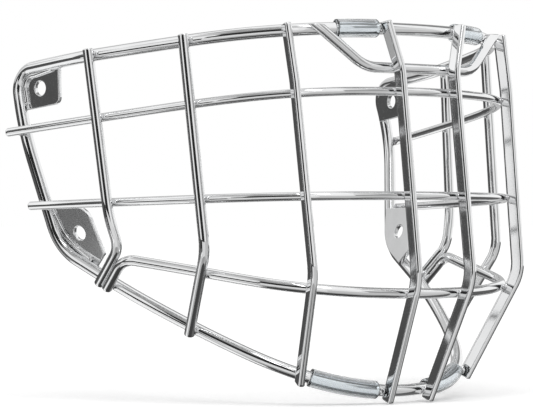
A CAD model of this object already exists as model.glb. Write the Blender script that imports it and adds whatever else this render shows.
"""Chrome wire face cage for a hockey goalie mask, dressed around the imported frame.

Front is -Y, up is +Z and the mirror plane is X = 0. The shape's sizes are in millimetres, as in the part's
source, and become metres when a mesh is made.
"""
import math

import bpy
from mathutils import Matrix, Vector


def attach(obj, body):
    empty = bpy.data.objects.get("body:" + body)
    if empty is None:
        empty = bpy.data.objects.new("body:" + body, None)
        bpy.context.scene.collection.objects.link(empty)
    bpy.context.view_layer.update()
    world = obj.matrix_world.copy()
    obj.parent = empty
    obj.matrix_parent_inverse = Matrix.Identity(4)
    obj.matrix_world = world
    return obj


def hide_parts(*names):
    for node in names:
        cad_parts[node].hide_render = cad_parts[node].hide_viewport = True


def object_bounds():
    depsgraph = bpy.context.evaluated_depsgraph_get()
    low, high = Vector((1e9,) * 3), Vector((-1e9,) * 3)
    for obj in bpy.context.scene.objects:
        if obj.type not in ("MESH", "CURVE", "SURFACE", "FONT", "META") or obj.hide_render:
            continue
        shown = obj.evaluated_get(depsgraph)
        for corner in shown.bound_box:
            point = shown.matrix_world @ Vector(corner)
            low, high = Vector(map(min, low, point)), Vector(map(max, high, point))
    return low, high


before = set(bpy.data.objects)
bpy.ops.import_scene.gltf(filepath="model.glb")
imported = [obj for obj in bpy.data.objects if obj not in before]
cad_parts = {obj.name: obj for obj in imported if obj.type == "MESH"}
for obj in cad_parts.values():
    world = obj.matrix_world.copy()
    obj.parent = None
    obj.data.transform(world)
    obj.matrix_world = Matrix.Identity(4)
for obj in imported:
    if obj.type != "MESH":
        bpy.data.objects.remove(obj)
cad_low, cad_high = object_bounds()

MM = 0.001

# Wire sizes
EDGE_D = 5.0
BAR_D = 4.3
THIN_D = 3.5
STOUT_D = 4.3
FLAT_W = 2.9
FLAT_H = 5.5
FLAT_R = 1.2
WELD_SINK = 0.3

# Wire planes: height at the front distance DATUM_Y, and slope in degrees
DATUM_Y = -58.5
TOP_Z, TOP_TILT = 150.8, 6.7
BROW_Z = TOP_Z - 16.1
EYE_Z, EYE_TILT = TOP_Z - 25.6, 6.8
NOSE_Z, NOSE_TILT = 83.3, 1.7
MOUTH_Z, MOUTH_TILT = 45.5, -9.4
BASE_Z, BASE_TILT = -1.0, -28.8

# Turns of the wires at the bars, in degrees from straight ahead
NOSE_TURN_EAR = 15.0
EYE_TURN_EAR = 18.0
TURN_CHEEK = 24.0
TURN_EYE = 54.0
TURN_CENTRE = 84.0
TOP_TURN_EAR = 18.5
TOP_TURN_REAR = 5.0
MOUTH_TURN_REAR = 25.5
MOUTH_TURN_CHEEK = 21.5
BASE_TURN_EAR = 16.0
BASE_TURN_CHEEK = 27.0
BASE_TURN_EYE = 49.0
BASE_TURN_CENTRE = 82.0

# Upright bars
LEAN = 6.6
BAR_TOP = 2.2
BAR_FOOT = 2.4
CENTRE_FACE = 2.0
EYE_FACE = 20.0
CENTRE_X, CENTRE_TOP_X, CENTRE_FOOT_X = 15.3, 21.1, 11.3
CENTRE_Y, CENTRE_FOOT_Y = -72.0, -51.0
CENTRE_KNEE_Z, CENTRE_KNEE_R = 50.0, 24.0
CENTRE_KINK_Z, CENTRE_KINK_R = TOP_Z - 16.8, 18.0
EYE_X, EYE_TOP_X, EYE_FOOT_X = 58.2, 60.7, 46.7
EYE_Y, EYE_FOOT_Y = -57.6, -37.1
EYE_KNEE_Z, EYE_KNEE_R = 52.0, 18.0
EYE_KINK_Z, EYE_KINK_LEAN, EYE_KINK_R = TOP_Z - 22.3, 4.0, 40.0
CHEEK_X, CHEEK_TOP_X, CHEEK_FOOT_X = 83.0, 86.0, 74.5
CHEEK_Y, CHEEK_FOOT_Y = -21.5, -2.0
CHEEK_KNEE_Z, CHEEK_KNEE_R = 61.5, 16.0
EAR_X, EAR_BEND_X, EAR_TOP_X, EAR_FOOT_X = 93.5, 97.5, 102.0, 91.5
EAR_Y, EAR_BEND_Y, EAR_FOOT_Y = 19.5, 21.0, 34.5
EAR_KNEE_Z, EAR_BEND_Z = 62.5, 75.5
EAR_KNEE_R, EAR_BEND_R = 9.0, 50.0

# Rear of the edge wire
CORNER_X, CORNER_Y, CORNER_R, CORNER_RUN = 103.5, 74.0, 8.5, 25.0
BACK_X, BACK_Y, BACK_DROP, BACK_R = 105.0, 67.0, 24.2, 100.0
LOW_Y, LOW_R = 56.0, 22.0

# Wire ends
THIN_TAIL = 5.5
EYE_TURN_REAR = 16.0
NOSE_TURN_REAR = 9.0
BROW_TURN_CENTRE = 89.0
BROW_BEND_X, BROW_BEND_R = 29.9, 15.0
BROW_END_SHARE, BROW_TAIL = 0.68, 4.0
MOUTH_BEND_R, MOUTH_RUN, MOUTH_SHORT = 10.0, 12.0, 1.0

# Tabs
TAB_T = 2.0
HOLE_D = 6.0
RIM_H = 1.4
RIM_W = 1.8
UPPER_IN, UPPER_FORWARD, UPPER_DOWN = 2.8, 13.5, 7.3
UPPER_TURN, UPPER_TILT = 9.0, -1.0
UPPER_FRONT, UPPER_LOW, UPPER_BACK, UPPER_R = 10.5, 6.5, 17.0, 3.0
LOWER_IN, LOWER_FORWARD, LOWER_UP = 3.3, 9.7, 6.7
LOWER_TURN, LOWER_TILT = 10.4, -15.6
LOWER_FRONT, LOWER_FRONT_TOP, LOWER_LOW, LOWER_HIGH = 11.0, 5.5, 9.0, 11.0
LOWER_AHEAD, LOWER_R, LOWER_FOOT_R = 18.0, 6.5, 1.5

# Sleeves
SLEEVE_D = 7.4
SLEEVE_PLAY = 0.16
TOP_BARE = 0.11
BOTTOM_BARE = 0.2

# Numbers of bends in top_half, base_half and rear_route
TOP_BROW_BEND = 6
TOP_SLEEVE_BEND = 7
BASE_SLEEVE_BEND = 4
BASE_SLEEVE_NEXT = 5
REAR_CORNER_BEND = 1
REAR_LOW_BEND = 3

# Mesh fineness
ROUND_STEPS = 64
CORNER_STEPS = 8
SIDE_EDGE = 0.12
RING_GAP = 1.4
BEND_STEP = math.radians(3.0)
SAME_PLACE = 0.05
TINY = 1e-9
NEARLY_UPRIGHT = 0.9

# Wire ends in the mesh: their rounding, and how near to them no other ring stands
END_ROUND = 0.55
END_STEPS = 5
SQUARE_CLEAR = END_ROUND * 1.2
LEVEL_CLEAR = 3.2


def tan_deg(angle):
    return math.tan(math.radians(angle))


def unit(v):
    return v.normalized()


def flip(p):
    return Vector((-p.x, p.y, p.z))


def between(a, b):
    return math.acos(max(-1.0, min(1.0, a.dot(b))))


# A route is a list of (corner point, distance from the corner to where its bend starts).
def flip_route(route):
    return [(flip(p), s) for p, s in reversed(route)]


def run_dir(route, i):
    return unit(route[i + 1][0] - route[i][0])


def turn_at(route, i):
    return between(run_dir(route, i - 1), run_dir(route, i))


def spin(v, axis, angle):
    return Matrix.Rotation(angle, 3, axis) @ v


def run_up(route, i, up):
    """The section's up after the bends before run i."""
    for k in range(1, i + 1):
        axis = unit(run_dir(route, k - 1).cross(run_dir(route, k)))
        up = spin(up, axis, turn_at(route, k))
    return up


def setback(a, b, c, radius):
    return radius * math.tan(between(unit(b - a), unit(c - b)) / 2)


def bent(points, radii):
    route = [(points[0], 0.0)]
    for i, radius in enumerate(radii, 1):
        route.append((points[i], setback(points[i - 1], points[i], points[i + 1], radius)))
    route.append((points[-1], 0.0))
    return route


def bend_at(route, i, share):
    """Point, direction, radius and whole turn at a share of the way round bend i."""
    d = run_dir(route, i - 1)
    turn = turn_at(route, i)
    axis = unit(d.cross(run_dir(route, i)))
    radius = route[i][1] / math.tan(turn / 2)
    out = d.cross(axis)
    centre = route[i][0] - d * route[i][1] - out * radius
    angle = turn * share
    point = centre + (out * math.cos(angle) + d * math.sin(angle)) * radius
    return point, d * math.cos(angle) - out * math.sin(angle), radius, turn


def bend_part(route, i, start, stop):
    """The part of bend i between two shares, as a route of one bend."""
    point, direction, radius, turn = bend_at(route, i, start)
    reach = radius * math.tan(turn * (stop - start) / 2)
    return [(point, 0.0), (point + direction * reach, reach), (bend_at(route, i, stop)[0], 0.0)]


def join(a, b):
    """Two bends of equal reach that join two (point, direction) pairs."""
    v = b[0] - a[0]
    t = a[1] + b[1]
    k = 2 * (1 - a[1].dot(b[1]))
    d = (-v.dot(t) + math.sqrt(v.dot(t) ** 2 + k * v.dot(v))) / k
    return [(a[0] + a[1] * d, d), (b[0] - b[1] * d, d)]


def middle_join(a):
    return join(a, (flip(a[0]), -flip(a[1])))[0]


def smooth(pairs):
    route = []
    for a, b in zip(pairs, pairs[1:]):
        route += join(a, b)
    return route + [middle_join(pairs[-1])]


def heading(turn, slope):
    ahead = unit(Vector((0, -1, slope)))
    angle = math.radians(turn)
    return unit(Vector((-math.sin(angle), 0, 0)) + ahead * math.cos(angle))


def plane_z(plane, y):
    return plane[0] - plane[1] * (y - DATUM_Y)


def on_plane(p, u, plane):
    return (plane_z(plane, p.y) - p.z) / (u.z + plane[1] * u.y)


def section_reach(section, share):
    w, h, r = section
    return (h / 2 - r) * share + (w / 2 - r) * math.sqrt(1 - share * share) + r


TOP_PLANE = (TOP_Z, tan_deg(TOP_TILT), EDGE_D)
BROW_PLANE = (BROW_Z, 0.0, STOUT_D)
EYE_PLANE = (EYE_Z, tan_deg(EYE_TILT), THIN_D)
NOSE_PLANE = (NOSE_Z, tan_deg(NOSE_TILT), THIN_D)
MOUTH_PLANE = (MOUTH_Z, tan_deg(MOUTH_TILT), STOUT_D)
BASE_PLANE = (BASE_Z, tan_deg(BASE_TILT), EDGE_D)
ROUND_SECTION = (BAR_D, BAR_D, BAR_D / 2)
FLAT_SECTION = (FLAT_W, FLAT_H, FLAT_R)
SWEEP_LEAN = tan_deg(LEAN)

# Each weld: (wire point, wire direction, wire radius, way to the other wire, its direction, its radius).
welds = {}


def behind(bar, i, plane, turn, name):
    """Point and direction of a wire that passes behind run i of a bar, with its weld noted under a name."""
    route, up, section = bar
    u = run_dir(route, i)
    t = heading(turn, plane[1])
    n = unit(t.cross(u))
    reach = section_reach(section, min(1.0, abs(n.dot(run_up(route, i, up)))))
    p = route[i][0] - n * (reach + plane[2] / 2 - WELD_SINK)
    point = p + u * on_plane(p, u, plane)
    welds[name] = (point, t, plane[2] / 2, n, u, section[0] / 2)
    return point, t


def outside(a, b, plane, turn, name):
    """Point and direction of a wire that passes outside a straight of the edge wire."""
    u = unit(b - a)
    t = heading(turn, plane[1])
    n = unit(t.cross(u))
    p = a + n * (EDGE_D / 2 + plane[2] / 2 - WELD_SINK)
    point = p + u * on_plane(p, u, plane)
    welds[name] = (point, t, plane[2] / 2, -n, u, EDGE_D / 2)
    return point, t


def top_height(y, z, slope):
    return (plane_z(TOP_PLANE, y - slope * z) + BAR_TOP) / (1 + TOP_PLANE[1] * slope)


def foot_point(x, y):
    return Vector((x, y, plane_z(BASE_PLANE, y) - BAR_FOOT))


def section_up(route, face):
    d = run_dir(route, 0)
    angle = math.radians(face)
    f = Vector((math.sin(angle), -math.cos(angle), 0))
    return unit(f - d * f.dot(d))


# Upright bars
centre_top_z = top_height(CENTRE_Y, CENTRE_KNEE_Z, SWEEP_LEAN)
centre_route = bent([
    Vector((CENTRE_TOP_X, CENTRE_Y + SWEEP_LEAN * (centre_top_z - CENTRE_KNEE_Z), centre_top_z)),
    Vector((CENTRE_X, CENTRE_Y + SWEEP_LEAN * (CENTRE_KINK_Z - CENTRE_KNEE_Z), CENTRE_KINK_Z)),
    Vector((CENTRE_X, CENTRE_Y, CENTRE_KNEE_Z)),
    foot_point(CENTRE_FOOT_X, CENTRE_FOOT_Y)], [CENTRE_KINK_R, CENTRE_KNEE_R])
centre_bar = (centre_route, section_up(centre_route, CENTRE_FACE), FLAT_SECTION)

eye_kink_y = EYE_Y + SWEEP_LEAN * (EYE_KINK_Z - EYE_KNEE_Z)
eye_top_slope = tan_deg(LEAN + EYE_KINK_LEAN)
eye_top_z = top_height(eye_kink_y, EYE_KINK_Z, eye_top_slope)
eye_kink_share = (EYE_KINK_Z - EYE_KNEE_Z) / (eye_top_z - EYE_KNEE_Z)
eye_route = bent([
    Vector((EYE_TOP_X, eye_kink_y + eye_top_slope * (eye_top_z - EYE_KINK_Z), eye_top_z)),
    Vector((EYE_X + eye_kink_share * (EYE_TOP_X - EYE_X), eye_kink_y, EYE_KINK_Z)),
    Vector((EYE_X, EYE_Y, EYE_KNEE_Z)),
    foot_point(EYE_FOOT_X, EYE_FOOT_Y)], [EYE_KINK_R, EYE_KNEE_R])
eye_bar = (eye_route, section_up(eye_route, EYE_FACE), FLAT_SECTION)

cheek_top_z = top_height(CHEEK_Y, CHEEK_KNEE_Z, SWEEP_LEAN)
cheek_route = bent([
    Vector((CHEEK_TOP_X, CHEEK_Y + SWEEP_LEAN * (cheek_top_z - CHEEK_KNEE_Z), cheek_top_z)),
    Vector((CHEEK_X, CHEEK_Y, CHEEK_KNEE_Z)),
    foot_point(CHEEK_FOOT_X, CHEEK_FOOT_Y)], [CHEEK_KNEE_R])
cheek_bar = (cheek_route, section_up(cheek_route, 0), ROUND_SECTION)

ear_top_z = top_height(EAR_BEND_Y, EAR_BEND_Z, SWEEP_LEAN)
ear_route = bent([
    Vector((EAR_TOP_X, EAR_BEND_Y + SWEEP_LEAN * (ear_top_z - EAR_BEND_Z), ear_top_z)),
    Vector((EAR_BEND_X, EAR_BEND_Y, EAR_BEND_Z)),
    Vector((EAR_X, EAR_Y, EAR_KNEE_Z)),
    foot_point(EAR_FOOT_X, EAR_FOOT_Y)], [EAR_BEND_R, EAR_KNEE_R])
ear_bar = (ear_route, section_up(ear_route, 0), ROUND_SECTION)

# Edge wire
corner = Vector((CORNER_X, CORNER_Y, plane_z(TOP_PLANE, CORNER_Y)))
back_bend = Vector((BACK_X, BACK_Y, corner.z - BACK_DROP))
top_rear_dir = heading(TOP_TURN_REAR, TOP_PLANE[1])
top_rear = corner + top_rear_dir * CORNER_RUN
top_half = smooth([
    (top_rear, top_rear_dir),
    behind(ear_bar, 0, TOP_PLANE, TOP_TURN_EAR, "ear_top"),
    behind(cheek_bar, 0, TOP_PLANE, TURN_CHEEK, "cheek_top"),
    behind(eye_bar, 0, TOP_PLANE, TURN_EYE, "eye_top"),
    behind(centre_bar, 0, TOP_PLANE, TURN_CENTRE, "centre_top")])
base_ear = behind(ear_bar, 2, BASE_PLANE, BASE_TURN_EAR, "ear_foot")
base_half = smooth([
    base_ear,
    behind(cheek_bar, 1, BASE_PLANE, BASE_TURN_CHEEK, "cheek_foot"),
    behind(eye_bar, 2, BASE_PLANE, BASE_TURN_EYE, "eye_foot"),
    behind(centre_bar, 2, BASE_PLANE, BASE_TURN_CENTRE, "centre_foot")])


def straight_back(pair, y):
    return pair[0] + pair[1] * ((y - pair[0].y) / pair[1].y)


low_corner = straight_back(base_ear, LOW_Y)
rear_route = bent([top_rear, corner, back_bend, low_corner, base_ear[0]], [CORNER_R, BACK_R, LOW_R])
rear_bends = rear_route[1:4]


def middle_point(half):
    p = half[-1][0]
    return Vector((0, p.y, p.z))


half_edge = [(middle_point(top_half), 0.0)] + top_half[::-1] + rear_bends + base_half
edge_route = half_edge + flip_route(half_edge)


def cross_route(half):
    return half + flip_route(half)


def thin_route(plane, ear_turn, rear_pair, name):
    pairs = [
        rear_pair,
        behind(ear_bar, 0, plane, ear_turn, "ear_" + name),
        behind(cheek_bar, 0, plane, TURN_CHEEK, "cheek_" + name),
        behind(eye_bar, 1, plane, TURN_EYE, "eye_" + name),
        behind(centre_bar, 1, plane, TURN_CENTRE, "centre_" + name)]
    tail = pairs[0][0] - pairs[0][1] * THIN_TAIL
    return cross_route([(tail, 0.0)] + smooth(pairs))


eye_wire_route = thin_route(
    EYE_PLANE, EYE_TURN_EAR,
    outside(corner, back_bend, EYE_PLANE, EYE_TURN_REAR, "edge_eye"), "eye")
nose_wire_route = thin_route(
    NOSE_PLANE, NOSE_TURN_EAR,
    outside(back_bend, low_corner, NOSE_PLANE, NOSE_TURN_REAR, "edge_nose"), "nose")

# The brow wire's end lies against the outside of the top edge wire, inside the eye bar.
brow_pair = behind(centre_bar, 1, BROW_PLANE, BROW_TURN_CENTRE, "centre_brow")
brow_bend = brow_pair[0] + brow_pair[1] * ((BROW_BEND_X - brow_pair[0].x) / brow_pair[1].x)
brow_hold = bend_at(top_half, TOP_BROW_BEND, BROW_END_SHARE)
brow_v = brow_bend - brow_hold[0]
brow_side = brow_v - brow_hold[1] * brow_v.dot(brow_hold[1])
brow_gap = EDGE_D / 2 + STOUT_D / 2 - WELD_SINK
brow_out = spin(unit(brow_side), brow_hold[1], math.acos(brow_gap / brow_side.length))
brow_touch = brow_hold[0] + brow_out * brow_gap
brow_tail_dir = unit(brow_touch - brow_bend)
brow_end = brow_touch + brow_tail_dir * BROW_TAIL
welds["edge_brow"] = (brow_touch, brow_tail_dir, STOUT_D / 2, -brow_out, brow_hold[1], EDGE_D / 2)
brow_route = cross_route([
    (brow_end, 0.0),
    (brow_bend, setback(brow_end, brow_bend, brow_pair[0], BROW_BEND_R)),
    middle_join(brow_pair)])

# The mouth wire's end lies beside the ear bar's leg, on the outside of the bottom edge wire.
leg_dir = run_dir(ear_route, 2)
leg_n = unit(base_ear[1].cross(leg_dir))
leg_side = unit(base_ear[1] - leg_dir * leg_dir.dot(base_ear[1]))
mouth_leg = (ear_route[3][0] + leg_side * (BAR_D / 2 + STOUT_D / 2 - WELD_SINK)
             + leg_n * (STOUT_D - BAR_D) / 2)
mouth_end = mouth_leg - leg_dir * MOUTH_SHORT
mouth_bend = mouth_leg + leg_dir * on_plane(mouth_leg, leg_dir, MOUTH_PLANE)
mouth_rear_dir = heading(MOUTH_TURN_REAR, MOUTH_PLANE[1])
mouth_pairs = [
    (mouth_bend + mouth_rear_dir * MOUTH_RUN, mouth_rear_dir),
    behind(cheek_bar, 1, MOUTH_PLANE, MOUTH_TURN_CHEEK, "cheek_mouth"),
    behind(eye_bar, 2, MOUTH_PLANE, TURN_EYE, "eye_mouth"),
    behind(centre_bar, 2, MOUTH_PLANE, TURN_CENTRE, "centre_mouth")]
mouth_route = cross_route(
    [(mouth_end, 0.0), (mouth_bend, setback(mouth_end, mouth_bend, mouth_pairs[0][0], MOUTH_BEND_R))]
    + smooth(mouth_pairs))
leg_gap = base_ear[0] - mouth_leg
leg_along = (leg_gap.dot(leg_dir) - leg_gap.dot(base_ear[1]) * leg_dir.dot(base_ear[1])) / (
    1 - leg_dir.dot(base_ear[1]) ** 2)
welds["edge_mouth"] = (
    mouth_leg + leg_dir * leg_along, leg_dir, STOUT_D / 2, -leg_n, base_ear[1], EDGE_D / 2)


def round_section(d):
    """Points of a round section as (across, up)."""
    angles = [2 * math.pi * k / ROUND_STEPS for k in range(ROUND_STEPS)]
    return [(math.cos(a) * d / 2, math.sin(a) * d / 2) for a in angles]


def with_flat_sides(points):
    """The section with one more point near each end of a long side, so that the side is shaded flat."""
    result = []
    for k, (x, y) in enumerate(points):
        x2, y2 = points[(k + 1) % len(points)]
        long = math.hypot(x2 - x, y2 - y)
        result.append((x, y))
        if long > 4 * SIDE_EDGE:
            for share in (SIDE_EDGE / long, 1 - SIDE_EDGE / long):
                result.append((x + (x2 - x) * share, y + (y2 - y) * share))
    return result


def flat_section():
    """Points of a flattened bar's section, a rectangle with round corners."""
    points = []
    for k, (sx, sy) in enumerate([(1, 1), (-1, 1), (-1, -1), (1, -1)]):
        centre = (sx * (FLAT_W / 2 - FLAT_R), sy * (FLAT_H / 2 - FLAT_R))
        for s in range(CORNER_STEPS + 1):
            a = math.pi / 2 * (k + s / CORNER_STEPS)
            points.append((centre[0] + FLAT_R * math.cos(a), centre[1] + FLAT_R * math.sin(a)))
    return with_flat_sides(points)


def frames_along(route, up):
    """Sampled (point, direction, up) along a route, at most RING_GAP apart and closer round bends."""
    samples = []
    for i in range(len(route) - 1):
        d = run_dir(route, i)
        if i > 0:
            radius = route[i][1] / math.tan(turn_at(route, i) / 2)
            turn = turn_at(route, i)
            axis = unit(run_dir(route, i - 1).cross(d))
            steps = max(2, math.ceil(turn / BEND_STEP), math.ceil(radius * turn / RING_GAP))
            for k in range(steps + 1):
                point, direction, _, _ = bend_at(route, i, k / steps)
                samples.append((point, direction, spin(up, axis, turn * k / steps)))
            up = spin(up, axis, turn)
        start = route[i][0] + d * route[i][1]
        long = (route[i + 1][0] - d * route[i + 1][1] - start).dot(d)
        if i == 0:
            samples.append((start, d, up))
        steps = max(1, math.ceil(long / RING_GAP))
        last = steps + 1 if i == len(route) - 2 else steps
        for k in range(1, last):
            samples.append((start + d * long * k / steps, d, up))
    apart = [samples[0]]
    for sample in samples[1:]:
        if (sample[0] - apart[-1][0]).length > SAME_PLACE:
            apart.append(sample)
    return apart


def rounded_ends(samples, clear):
    """The samples with extra rings that round both cut ends, as (point, direction, up, inset).

    No other ring is closer to an end than the clear distance.
    """
    rings = []
    for (p, d, u), way in ((samples[0], 1), (samples[-1], -1)):
        end = []
        for k in range(END_STEPS):
            a = math.pi / 2 * k / END_STEPS
            end.append((p + d * way * END_ROUND * (1 - math.sin(a)), d, u, END_ROUND * (1 - math.cos(a))))
        rings.append(end)
    body = [(p, d, u, 0.0) for p, d, u in samples[1:-1]
            if (p - samples[0][0]).length > clear and (p - samples[-1][0]).length > clear]
    return rings[0][::-1] + body + rings[1]


def bridged(a, b, n):
    """Faces between two rings of n points that start at points a and b."""
    return [(a + k, a + (k + 1) % n, b + (k + 1) % n, b + k) for k in range(n)]


def swept_mesh(route, up, section, closed=False, level=False):
    """Vertices and faces of a section carried along a route, with square or level ends."""
    samples = frames_along(route, up)
    clear = LEVEL_CLEAR if level else SQUARE_CLEAR
    rings = [(p, d, u, 0.0) for p, d, u in samples] if closed else rounded_ends(samples, clear)
    if closed:
        rings.pop()
    half = min(max(abs(x) for x, _ in section), max(abs(y) for _, y in section))
    points = []
    for i, (p, d, u, inset) in enumerate(rings):
        across = d.cross(u) * -1
        scale = (half - inset) / half
        offsets = [(across * x + u * y) * scale for x, y in section]
        if level and (i < END_STEPS or i >= len(rings) - END_STEPS):
            offsets = [q - d * (q.z / d.z) for q in offsets]
        points += [(p + q) * MM for q in offsets]
    n = len(section)
    count = len(rings)
    faces = []
    for i in range(count if closed else count - 1):
        faces += bridged(i * n, (i + 1) % count * n, n)
    if not closed:
        faces.append(tuple(reversed(range(n))))
        faces.append(tuple(range((count - 1) * n, count * n)))
    return points, faces


def new_piece(name, points, faces, material, slot_name, replaced=()):
    """A smooth shaded piece on the root body."""
    mesh = bpy.data.meshes.new(name)
    mesh.from_pydata(points, [], faces)
    mesh.validate()
    mesh.materials.append(material)
    for polygon in mesh.polygons:
        polygon.use_smooth = True
    obj = bpy.data.objects.new(name, mesh)
    bpy.context.scene.collection.objects.link(obj)
    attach(obj, "root")
    if replaced:
        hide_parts(*replaced)
    return obj


def set_input(node, name, value):
    node.inputs[name].default_value = value


# Chrome stains: their fineness, how dark they are, where they start and end, and how the gloss varies
STAIN_SCALE, STAIN_DETAIL = 90.0, 4.0
STAIN_DARK = 0.93
STAIN_FROM, STAIN_TO = 0.3, 0.6
GLOSS_LEAST, GLOSS_MOST = 0.8, 1.25


def chrome_material(name, colour, roughness):
    """Bright polished metal with soft stains."""
    material = bpy.data.materials.new(name)
    material.use_nodes = True
    nodes = material.node_tree.nodes
    links = material.node_tree.links
    shader = nodes["Principled BSDF"]
    set_input(shader, "Metallic", 1.0)
    place = nodes.new("ShaderNodeTexCoord")
    stains = nodes.new("ShaderNodeTexNoise")
    set_input(stains, "Scale", STAIN_SCALE)
    set_input(stains, "Detail", STAIN_DETAIL)
    links.new(place.outputs["Object"], stains.inputs["Vector"])
    tint = nodes.new("ShaderNodeValToRGB")
    tint.color_ramp.elements[0].position = STAIN_FROM
    tint.color_ramp.elements[0].color = [c * STAIN_DARK for c in colour] + [1.0]
    tint.color_ramp.elements[1].position = STAIN_TO
    tint.color_ramp.elements[1].color = list(colour) + [1.0]
    links.new(stains.outputs["Fac"], tint.inputs["Fac"])
    links.new(tint.outputs["Color"], shader.inputs["Base Color"])
    spread = nodes.new("ShaderNodeMapRange")
    set_input(spread, "To Min", roughness * GLOSS_LEAST)
    set_input(spread, "To Max", roughness * GLOSS_MOST)
    links.new(stains.outputs["Fac"], spread.inputs["Value"])
    links.new(spread.outputs["Result"], shader.inputs["Roughness"])
    return material


wire_chrome = chrome_material("wire_chrome", (0.89, 0.895, 0.9), 0.06)
bar_chrome = chrome_material("bar_chrome", (0.89, 0.895, 0.9), 0.06)
tab_chrome = chrome_material("tab_chrome", (0.9, 0.905, 0.91), 0.12)
weld_chrome = chrome_material("weld_chrome", (0.62, 0.62, 0.63), 0.2)


# Clear vinyl: how much light goes through, how it bends, and its fine clouds of gloss
SLEEVE_CLEAR = 0.97
SLEEVE_IOR = 1.45
CLOUD_SCALE, CLOUD_DETAIL = 120.0, 3.0
SLEEVE_ROUGH_LEAST, SLEEVE_ROUGH_MOST = 0.02, 0.04

# The wire's dark underside shows through the clear wall as a line along the sleeve's lower side. These tints
# give it, as (way the surface faces, from 0 straight down to 1 straight up, then red, green and blue).
SLEEVE_TINTS = (
    (0.0, 0.86, 0.89, 0.91),
    (0.14, 0.76, 0.79, 0.81),
    (0.18, 0.12, 0.13, 0.13),
    (0.22, 0.12, 0.13, 0.13),
    (0.26, 0.91, 0.945, 0.965),
    (0.5, 0.92, 0.955, 0.975),
    (0.62, 0.96, 0.985, 1.0),
    (0.8, 0.94, 0.975, 1.0),
    (1.0, 0.97, 0.99, 1.0),
)


def sleeve_material():
    """Clear vinyl with a faint blue cast and slightly uneven gloss."""
    material = bpy.data.materials.new("clear_sleeve")
    material.use_nodes = True
    nodes = material.node_tree.nodes
    links = material.node_tree.links
    shader = nodes["Principled BSDF"]
    shape = nodes.new("ShaderNodeNewGeometry")
    parts = nodes.new("ShaderNodeSeparateXYZ")
    links.new(shape.outputs["Normal"], parts.inputs["Vector"])
    height = nodes.new("ShaderNodeMapRange")
    set_input(height, "From Min", -1.0)
    links.new(parts.outputs["Z"], height.inputs["Value"])
    tints = nodes.new("ShaderNodeValToRGB")
    stops = tints.color_ramp.elements
    for position, *_ in SLEEVE_TINTS[1:-1]:
        stops.new(position)
    for stop, (_, *colour) in zip(stops, SLEEVE_TINTS):
        stop.color = colour + [1.0]
    links.new(height.outputs["Result"], tints.inputs["Fac"])
    links.new(tints.outputs["Color"], shader.inputs["Base Color"])
    set_input(shader, "Transmission Weight", SLEEVE_CLEAR)
    set_input(shader, "IOR", SLEEVE_IOR)
    place = nodes.new("ShaderNodeTexCoord")
    clouds = nodes.new("ShaderNodeTexNoise")
    set_input(clouds, "Scale", CLOUD_SCALE)
    set_input(clouds, "Detail", CLOUD_DETAIL)
    links.new(place.outputs["Object"], clouds.inputs["Vector"])
    spread = nodes.new("ShaderNodeMapRange")
    set_input(spread, "To Min", SLEEVE_ROUGH_LEAST)
    set_input(spread, "To Max", SLEEVE_ROUGH_MOST)
    links.new(clouds.outputs["Fac"], spread.inputs["Value"])
    links.new(spread.outputs["Result"], shader.inputs["Roughness"])
    return material


clear_sleeve = sleeve_material()


def start_up(route):
    first = run_dir(route, 0)
    side = Vector((0, 0, 1)) if abs(first.z) < NEARLY_UPRIGHT else Vector((1, 0, 0))
    return unit(first.cross(side))


def wire_piece(node, route, d, closed=False, level=False):
    points, faces = swept_mesh(route, start_up(route), round_section(d), closed, level)
    new_piece(node + "_form", points, faces, wire_chrome, "wire_chrome", [node])


wire_piece("perimeter_wire", edge_route + [edge_route[0]], EDGE_D, closed=True)
wire_piece("brow_wire", brow_route, STOUT_D, level=True)
wire_piece("eye_wire", eye_wire_route, THIN_D)
wire_piece("nose_wire", nose_wire_route, THIN_D)
wire_piece("mouth_wire", mouth_route, STOUT_D)


def mirrored(points, faces):
    return [flip(p) for p in points], [tuple(reversed(f)) for f in faces]


def pair_of_pieces(name, points, faces, material, slot_name, nodes=()):
    """The piece on the wearer's left and its mirror image on the right."""
    made = []
    for side, shape in (("_left", (points, faces)), ("_right", mirrored(points, faces))):
        made.append(new_piece(name + side + "_form", *shape, material, slot_name, [n + side for n in nodes]))
    return made


for name, bar, section in (
        ("centre_bar", centre_bar, flat_section()),
        ("eye_bar", eye_bar, flat_section()),
        ("cheek_bar", cheek_bar, round_section(BAR_D)),
        ("ear_bar", ear_bar, round_section(BAR_D))):
    points, faces = swept_mesh(bar[0], bar[1], section)
    pair_of_pieces(name, points, faces, bar_chrome, "bar_chrome", [name])

# Weld fillets
WELD_ROUND = 28
WELD_RINGS = 7
WELD_SINK_IN = 0.12
WELD_REACH = 1.02
WELD_PULL = 0.42
WELD_STEEPEST = 0.96


def rise(radius, off):
    """Height of a round wire's side above its lowest line, at a distance off that line."""
    off = min(off, radius * WELD_STEEPEST)
    return radius - math.sqrt(radius * radius - off * off)


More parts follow.
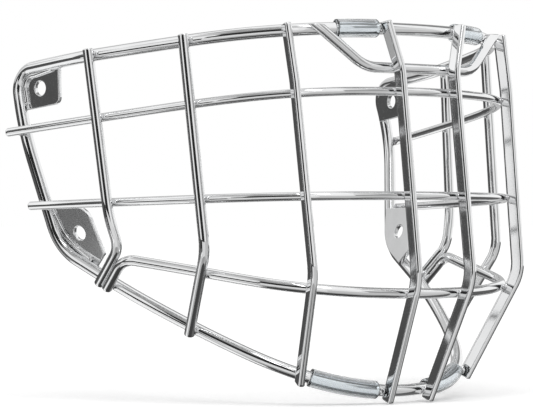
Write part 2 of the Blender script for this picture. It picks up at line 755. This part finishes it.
def weld_mesh(point, t, wire_r, n, u, bar_r):
    """A small fillet all round the touching point of two crossing wires."""
    touch = point + n * (wire_r - WELD_SINK / 2)
    e1 = unit(u - n * u.dot(n))
    e2 = n.cross(e1)
    t1 = unit(t - n * t.dot(n))
    reach = WELD_REACH * min(wire_r, bar_r)
    points = []
    for k in range(WELD_RINGS):
        s = k / (WELD_RINGS - 1)
        for j in range(WELD_ROUND):
            a = 2 * math.pi * j / WELD_ROUND
            q = e1 * math.cos(a) + e2 * math.sin(a)
            high = rise(bar_r, reach * abs(q.dot(e2))) + WELD_SINK_IN
            low = rise(wire_r, reach * abs(q.dot(n.cross(t1)))) + WELD_SINK_IN
            pull = WELD_PULL * (high + low) / 2 * math.sin(math.pi * s)
            points.append((touch + q * (reach - pull) + n * (high * (1 - s) - low * s)) * MM)
    faces = []
    for k in range(WELD_RINGS - 1):
        a, b = k * WELD_ROUND, (k + 1) * WELD_ROUND
        for j in range(WELD_ROUND):
            following = (j + 1) % WELD_ROUND
            faces.append((a + j, b + j, b + following, a + following))
    top = len(points)
    points.append(sum(points[:WELD_ROUND], Vector()) / WELD_ROUND)
    points.append(sum(points[top - WELD_ROUND:top], Vector()) / WELD_ROUND)
    faces += [(j, (j + 1) % WELD_ROUND, top) for j in range(WELD_ROUND)]
    last = top - WELD_ROUND
    faces += [(last + (j + 1) % WELD_ROUND, last + j, top + 1) for j in range(WELD_ROUND)]
    return points, faces


def joined(parts):
    points, faces = [], []
    for p, f in parts:
        base = len(points)
        points += p
        faces += [tuple(base + i for i in face) for face in f]
    return points, faces


for group in ("centre", "eye", "cheek", "ear", "edge"):
    parts = [weld_mesh(*weld) for name, weld in welds.items() if name.split("_")[0] == group]
    points, faces = joined(parts)
    pair_of_pieces(group + "_welds", points, faces, weld_chrome, "bar_chrome")

# Tabs
OUTLINE_STEPS = 12
CORNER_ARC = 8
PLATE_EDGE = 0.35
PLATE_EDGE_STEPS = 4
RIM_SWELL = 0.15
RIM_R = RIM_W / 2 + RIM_SWELL
RIM_RUNS = 60
RIM_ROUND = 20
RIM_TAPER = 2.5
RIM_TIP = 0.35
SHARP_EDGE = math.radians(40)


def tab_frame(hole, turn, tilt):
    """Hole centre, rearward, upward and outward."""
    a, b = math.radians(turn), math.radians(tilt)
    n = Vector((math.cos(a) * math.cos(b), -math.sin(a) * math.cos(b), math.sin(b)))
    r = unit(Vector((0, 0, 1)).cross(n))
    return hole, r, n.cross(r), n


def local(f, p):
    return Vector(((p - f[0]).dot(f[1]), (p - f[0]).dot(f[2])))


def beside(f, i):
    """Points of bend i of the rear of the edge wire, on the plate."""
    return [local(f, bend_at(rear_route, i, s / OUTLINE_STEPS)[0]) for s in range(OUTLINE_STEPS + 1)]


def corner_arc(a, b, c, radius):
    """Points of a rounded corner b between a and c."""
    u = unit(a - b)
    v = unit(c - b)
    half = math.acos(u.dot(v)) / 2
    centre = b + unit(u + v) * radius / math.sin(half)
    first = b + u * radius / math.tan(half) - centre
    last = b + v * radius / math.tan(half) - centre
    start = math.atan2(first.y, first.x)
    turn = math.atan2(last.y, last.x) - start
    turn = (turn + math.pi) % (2 * math.pi) - math.pi
    angles = [start + turn * k / CORNER_ARC for k in range(CORNER_ARC + 1)]
    return [centre + Vector((math.cos(a), math.sin(a))) * radius for a in angles]


upper_frame = tab_frame(corner + Vector((-UPPER_IN, -UPPER_FORWARD, -UPPER_DOWN)), UPPER_TURN, UPPER_TILT)
lower_frame = tab_frame(low_corner + Vector((-LOWER_IN, -LOWER_FORWARD, LOWER_UP)), LOWER_TURN, LOWER_TILT)
upper_line = (
    [local(upper_frame, straight_back((corner, top_rear_dir), upper_frame[0].y - UPPER_FRONT))]
    + beside(upper_frame, REAR_CORNER_BEND)
    + [local(upper_frame, corner + unit(back_bend - corner) * UPPER_BACK)])
upper_outline = upper_line + corner_arc(
    upper_line[-1], Vector((-UPPER_FRONT, -UPPER_LOW)), upper_line[0], UPPER_R)
wire_high = local(lower_frame, back_bend)
wire_low = local(lower_frame, low_corner)
lower_top_share = (wire_high.y - LOWER_HIGH) / (wire_high.y - wire_low.y)
lower_top = Vector((wire_high.x + (wire_low.x - wire_high.x) * lower_top_share, LOWER_HIGH))
lower_line = (
    [lower_top]
    + beside(lower_frame, REAR_LOW_BEND)
    + [local(lower_frame, low_corner + unit(base_ear[0] - low_corner) * LOWER_AHEAD)])
lower_foot = Vector((-LOWER_FRONT, -LOWER_LOW))
lower_shoulder = Vector((-LOWER_FRONT_TOP, LOWER_HIGH))
lower_outline = (
    lower_line
    + corner_arc(lower_line[-1], lower_foot, lower_shoulder, LOWER_FOOT_R)
    + corner_arc(lower_foot, lower_shoulder, lower_top, LOWER_R))


def in_place(f):
    """The matrix that puts a plate's drawing in its place, in metres."""
    rows = [[f[1][k], f[2][k], f[3][k], f[0][k]] for k in range(3)]
    return Matrix.Scale(MM, 4) @ Matrix(rows + [[0, 0, 0, 1]])


def plate_mesh(outline):
    """A flat plate with a screw hole and softened edges, in its own drawing's frame."""
    curve = bpy.data.curves.new("plate_drawing", "CURVE")
    curve.dimensions = "2D"
    curve.fill_mode = "BOTH"
    curve.extrude = TAB_T / 2 - PLATE_EDGE
    curve.bevel_depth = PLATE_EDGE
    curve.bevel_resolution = PLATE_EDGE_STEPS
    curve.offset = -PLATE_EDGE
    hole = [Vector((math.cos(a), math.sin(a))) * HOLE_D / 2
            for a in [2 * math.pi * k / ROUND_STEPS for k in range(ROUND_STEPS)]]
    for line in (outline, hole):
        spline = curve.splines.new("POLY")
        spline.points.add(len(line) - 1)
        spline.use_cyclic_u = True
        for point, p in zip(spline.points, line):
            point.co = (p.x, p.y, 0, 1)
    obj = bpy.data.objects.new("plate_drawing", curve)
    bpy.context.scene.collection.objects.link(obj)
    bpy.context.view_layer.update()
    mesh = bpy.data.meshes.new_from_object(obj.evaluated_get(bpy.context.evaluated_depsgraph_get()))
    points = [v.co.copy() for v in mesh.vertices]
    faces = [tuple(p.vertices) for p in mesh.polygons]
    bpy.data.objects.remove(obj)
    return points, faces


def smooth_line(line, steps):
    """Points spread evenly along a line."""
    lengths = [0.0]
    for a, b in zip(line, line[1:]):
        lengths.append(lengths[-1] + (b - a).length)
    result = []
    for k in range(steps + 1):
        want = lengths[-1] * k / steps
        i = max(j for j in range(len(line) - 1) if lengths[j] <= want + TINY)
        share = (want - lengths[i]) / (lengths[i + 1] - lengths[i])
        result.append(line[i].lerp(line[i + 1], min(1.0, share)))
    return result


def rim_mesh(line):
    """The raised bead that fills the corner between the edge wire and the plate."""
    inner = [p - unit(p) * (EDGE_D / 2 + RIM_W / 2) for p in line]
    inner = smooth_line(inner, RIM_RUNS)
    points, faces = [], []
    high = TAB_T / 2 + RIM_H - RIM_R
    for i, p in enumerate(inner):
        ahead = unit(inner[min(i + 1, RIM_RUNS)] - inner[max(i - 1, 0)])
        side = Vector((-ahead.y, ahead.x))
        end = min(1.0, (min(i, RIM_RUNS - i) + RIM_TIP) / RIM_TAPER)
        size = RIM_R * math.sqrt(1 - (1 - end) ** 2)
        for k in range(RIM_ROUND):
            a = 2 * math.pi * k / RIM_ROUND
            q = p + side * size * math.cos(a)
            points.append(Vector((q.x, q.y, high + size * math.sin(a))))
    for i in range(RIM_RUNS):
        faces += bridged(i * RIM_ROUND, (i + 1) * RIM_ROUND, RIM_ROUND)
    faces.append(tuple(reversed(range(RIM_ROUND))))
    faces.append(tuple(range(RIM_RUNS * RIM_ROUND, (RIM_RUNS + 1) * RIM_ROUND)))
    return points, faces


for name, outline, line, f in (
        ("upper_tab", upper_outline, upper_line, upper_frame),
        ("lower_tab", lower_outline, lower_line, lower_frame)):
    points, faces = joined([plate_mesh(outline), rim_mesh(line)])
    matrix = in_place(f)
    points = [matrix @ p for p in points]
    for piece in pair_of_pieces(name, points, faces, tab_chrome, "tab_chrome", [name]):
        piece.data.shade_smooth()
        piece.data.set_sharp_from_angle(angle=SHARP_EDGE)

# Sleeves
SLEEVE_BORE = EDGE_D + SLEEVE_PLAY
SLEEVE_END = 0.3
SLEEVE_END_STEPS = 4
top_sleeve_route = bend_part(top_half, TOP_SLEEVE_BEND, 0, 1 - TOP_BARE)
bottom_first = bend_part(base_half, BASE_SLEEVE_BEND, BOTTOM_BARE, 1)
bottom_second = bend_part(base_half, BASE_SLEEVE_NEXT, 0, 1 - BOTTOM_BARE)
bottom_sleeve_route = bottom_first[:2] + bottom_second[1:]


def sleeve_mesh(route):
    """A thin walled tube with softened ends."""
    samples = frames_along(route, unit(run_dir(route, 0).cross(Vector((0, 0, 1)))))
    angles = [math.pi / 2 * k / SLEEVE_END_STEPS for k in range(SLEEVE_END_STEPS + 1)]
    rings = []
    for (p, d, u), way in ((samples[0], 1), (samples[-1], -1)):
        rings.append([(p + d * way * SLEEVE_END * (1 - math.sin(a)), d, u, SLEEVE_END * (1 - math.cos(a)))
                      for a in angles])
    body = [(p, d, u, 0.0) for p, d, u in samples[1:-1]]
    outer = rings[0][::-1] + body + rings[1]
    inner = samples[::-1]
    points = []
    circle = round_section(1.0)
    for p, d, u, inset in outer:
        across = d.cross(u) * -1
        points += [(p + (across * x + u * y) * (SLEEVE_D - 2 * inset)) * MM for x, y in circle]
    for p, d, u in inner:
        across = d.cross(u) * -1
        points += [(p + (across * x + u * y) * SLEEVE_BORE) * MM for x, y in circle]
    n = len(circle)
    count = len(outer) + len(inner)
    faces = []
    for i in range(count):
        faces += bridged(i * n, (i + 1) % count * n, n)
    return points, faces


for name, route in (("top_sleeve", top_sleeve_route), ("bottom_sleeve", bottom_sleeve_route)):
    points, faces = sleeve_mesh(route)
    pair_of_pieces(name, points, faces, clear_sleeve, "clear_sleeve", [name])

# Camera at the photograph's angle: place, heading, tilt and lens
CAMERA_PLACE = Vector((-0.8792, -0.942, 0.072))
CAMERA_TURN = math.radians(42.0)
CAMERA_TILT = math.radians(0.353)
SENSOR = 36.0
LENS = 208.37
camera_data = bpy.data.cameras.new("camera")
camera_data.sensor_width = SENSOR
camera_data.lens = LENS
camera = bpy.data.objects.new("camera", camera_data)
bpy.context.scene.collection.objects.link(camera)
camera.location = CAMERA_PLACE
look = Vector((math.sin(CAMERA_TURN) * math.cos(CAMERA_TILT),
               math.cos(CAMERA_TURN) * math.cos(CAMERA_TILT), math.sin(CAMERA_TILT)))
camera.rotation_mode = "QUATERNION"
camera.rotation_quaternion = look.to_track_quat("-Z", "Y")
bpy.context.scene.camera = camera


# Floor
FLOOR_GREY = 0.95
FLOOR_GLOW = 0.2
FLOOR_SIZE = 60.0
FLOOR_DROP = 0.0001
FLOOR_Z = cad_low.z - FLOOR_DROP


def floor_material():
    """Pale floor that reads as white to the camera and keeps the object's shadow."""
    material = bpy.data.materials.new("floor")
    material.use_nodes = True
    nodes = material.node_tree.nodes
    links = material.node_tree.links
    shader = nodes["Principled BSDF"]
    set_input(shader, "Base Color", (FLOOR_GREY, FLOOR_GREY, FLOOR_GREY, 1.0))
    set_input(shader, "Roughness", 1.0)
    set_input(shader, "Specular IOR Level", 0.0)
    set_input(shader, "Emission Color", (1.0, 1.0, 1.0, 1.0))
    path = nodes.new("ShaderNodeLightPath")
    part = nodes.new("ShaderNodeMath")
    part.operation = "MULTIPLY"
    part.inputs[1].default_value = FLOOR_GLOW
    links.new(path.outputs["Is Camera Ray"], part.inputs[0])
    links.new(part.outputs["Value"], shader.inputs["Emission Strength"])
    return material


floor_mesh = bpy.data.meshes.new("floor")
floor_mesh.from_pydata(
    [(-FLOOR_SIZE, -FLOOR_SIZE, FLOOR_Z), (FLOOR_SIZE, -FLOOR_SIZE, FLOOR_Z),
     (FLOOR_SIZE, FLOOR_SIZE, FLOOR_Z), (-FLOOR_SIZE, FLOOR_SIZE, FLOOR_Z)], [], [(0, 1, 2, 3)])
floor_mesh.materials.append(floor_material())
floor = bpy.data.objects.new("floor", floor_mesh)
bpy.context.scene.collection.objects.link(floor)
floor.visible_glossy = False

# World: white where it is seen, and a plain soft light on what is matt
WORLD_LIGHT = 0.55
WORLD_SEEN = 1.0
world = bpy.data.worlds.new("studio")
bpy.context.scene.world = world
world.use_nodes = True
world_nodes = world.node_tree.nodes
world_links = world.node_tree.links
background = world_nodes["Background"]
set_input(background, "Color", (1.0, 1.0, 1.0, 1.0))
world_path = world_nodes.new("ShaderNodeLightPath")
seen = world_path.outputs["Is Camera Ray"]
for other in ("Is Glossy Ray", "Is Transmission Ray"):
    larger = world_nodes.new("ShaderNodeMath")
    larger.operation = "MAXIMUM"
    world_links.new(seen, larger.inputs[0])
    world_links.new(world_path.outputs[other], larger.inputs[1])
    seen = larger.outputs["Value"]
level = world_nodes.new("ShaderNodeMapRange")
set_input(level, "To Min", WORLD_LIGHT)
set_input(level, "To Max", WORLD_SEEN)
world_links.new(seen, level.inputs["Value"])
world_links.new(level.outputs["Result"], background.inputs["Strength"])

# A soft lamp from above, which throws the floor shadow
SUN_STRENGTH = 1.45
SUN_WIDTH = math.radians(40)
SUN_TURN = (math.radians(30), math.radians(-22), 0)
sun_data = bpy.data.lights.new("sun", "SUN")
sun_data.energy = SUN_STRENGTH
sun_data.angle = SUN_WIDTH
sun = bpy.data.objects.new("sun", sun_data)
bpy.context.scene.collection.objects.link(sun)
sun.rotation_euler = SUN_TURN

# Grey studio panels round the object, which reflections and the sleeves see and the camera doesn't, as
# (name, grey, azimuth from, to, elevation from, to), in degrees. Azimuth 0 is where the camera stands, and it
# grows to the right of the picture. No two panels overlap.
FLAGS = (
    ("flag_side", 0.08, -160, -66, -13, 11),
    ("flag_side_post", 0.15, -80, -66, 11, 32),
    ("flag_side_low", 0.12, -95, -70, -24, -13),
    ("flag_side_low_pale", 0.4, -125, -95, -30, -13),
    ("flag_side_low_back", 0.13, -160, -125, -30, -13),
    ("flag_side_high", 0.63, -147, -100, 11, 34),
    ("flag_pale_left", 0.9, -66, -37, -2, 30),
    ("flag_front", 0.025, -37, 16, -4, 14),
    ("flag_front_upper", 0.03, -33, 14, 14, 30),
    ("flag_high_left", 0.6, -66, -40, 30, 62),
    ("flag_front_high", 0.35, -40, 10, 30, 62),
    ("flag_front_top", 0.5, -40, 10, 62, 80),
    ("flag_top_left", 0.4, -100, -40, 62, 80),
    ("flag_top_right", 0.6, 14, 30, 35, 80),
    ("flag_horizon_left", 0.02, -66, -38, -22, -2),
    ("flag_low_middle", 0.75, -38, 25, -38, -4),
    ("flag_low_front", 0.35, -35, 25, -56, -38),
    ("flag_low_left_pale", 0.65, -75, -38, -38, -27),
    ("flag_low_left", 0.5, -70, -35, -52, -38),
    ("flag_low_left_dark", 0.08, -70, -35, -64, -52),
    ("flag_right_pale", 0.88, 20, 54, 0, 28),
    ("flag_right_dip", 0.35, 54, 74, 0, 28),
    ("flag_right_face", 0.72, 74, 95, 0, 28),
    ("flag_right_high", 0.5, 70, 90, 28, 58),
    ("flag_right", 0.58, 25, 95, -38, 0),
    ("flag_low_right", 0.45, 25, 70, -56, -38),
    ("flag_low_far_right", 0.13, 70, 130, -56, -38),
    ("flag_far_right", 0.12, 95, 155, -38, -2),
    ("flag_low_back", 0.18, 130, 230, -64, -38),
    ("flag_low_ring", 0.06, -35, 130, -64, -56),
    ("flag_nadir", 0.05, 0, 360, -90, -64),
    ("flag_behind", 0.5, 165, 200, -25, 50),
    ("flag_back_right", 0.25, 125, 165, 28, 60),
    ("flag_back_left", 0.6, 200, 225, 34, 60),
)
FLAG_DISTANCE = 6.0
FLAG_STEP = 2.0


def flag_mesh(a0, a1, e0, e1):
    """Vertices and faces of a part of a sphere round the object."""
    columns = math.ceil((a1 - a0) / FLAG_STEP)
    rows = math.ceil((e1 - e0) / FLAG_STEP)
    points = []
    for i in range(columns + 1):
        azimuth = math.radians(a0 + (a1 - a0) * i / columns)
        turn = math.atan2(CAMERA_PLACE.y, CAMERA_PLACE.x) + azimuth
        for j in range(rows + 1):
            elevation = math.radians(e0 + (e1 - e0) * j / rows)
            flat = math.cos(elevation)
            way = Vector((math.cos(turn) * flat, math.sin(turn) * flat, math.sin(elevation)))
            points.append(way * FLAG_DISTANCE)
    faces = []
    for i in range(columns):
        for j in range(rows):
            a = i * (rows + 1) + j
            b = a + rows + 1
            faces.append((a, b, b + 1, a + 1))
    return points, faces


def flag_piece(name, grey, a0, a1, e0, e1):
    """A glowing grey panel that lights nothing matt and throws no shadow."""
    points, faces = flag_mesh(a0, a1, e0, e1)
    mesh = bpy.data.meshes.new(name)
    mesh.from_pydata(points, [], faces)
    material = bpy.data.materials.new(name)
    material.use_nodes = True
    nodes = material.node_tree.nodes
    nodes.remove(nodes["Principled BSDF"])
    glow = nodes.new("ShaderNodeEmission")
    set_input(glow, "Color", (grey, grey, grey, 1.0))
    material.node_tree.links.new(glow.outputs["Emission"], nodes["Material Output"].inputs["Surface"])
    mesh.materials.append(material)
    flag = bpy.data.objects.new(name, mesh)
    bpy.context.scene.collection.objects.link(flag)
    flag.visible_camera = False
    flag.visible_diffuse = False
    flag.visible_shadow = False


for flag in FLAGS:
    flag_piece(*flag)

bpy.context.scene.view_settings.view_transform = "Standard"
